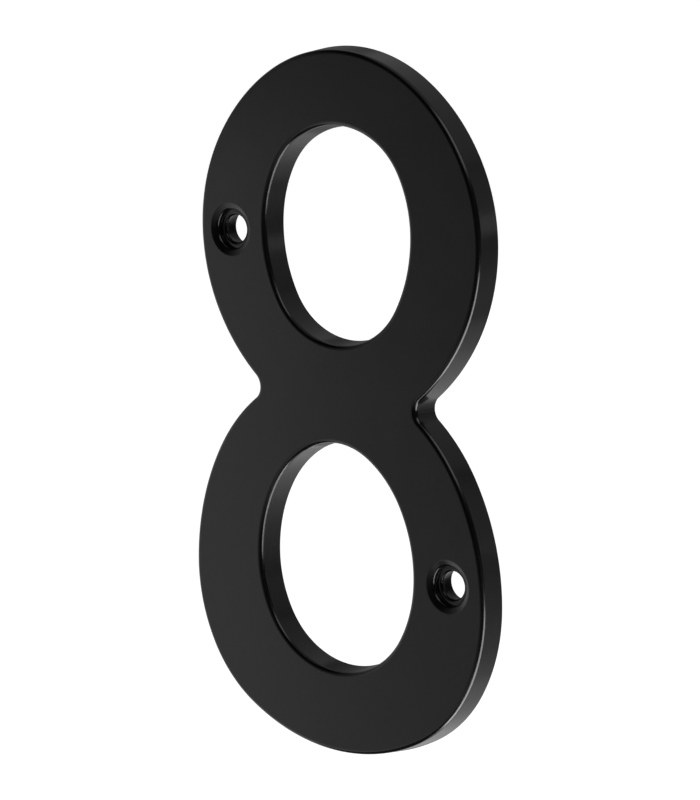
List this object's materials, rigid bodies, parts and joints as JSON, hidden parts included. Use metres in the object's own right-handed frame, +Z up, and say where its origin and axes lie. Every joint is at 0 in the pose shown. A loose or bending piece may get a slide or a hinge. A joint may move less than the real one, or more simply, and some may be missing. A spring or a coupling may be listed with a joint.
{
  "type": "house number",
  "caption": "Wall-mounted house number in the form of the figure eight: a flat cast plate with drafted walls, a soft front edge, open counters and recessed screw holes.",
  "frame": {"origin": "middle of the flat back, on the wall plane, half-way up and half-way across the figure", "axes": "+Z up, +X to the right as seen from the front, +Y out of the back into the wall, so the front faces -Y"},
  "size_m": [0.0556, 0.0037, 0.1016],
  "materials": {
    "black_coating": "satin"
  },
  "bodies": {
    "root": {"house_number": "black_coating"}
  },
  "joints": []
}
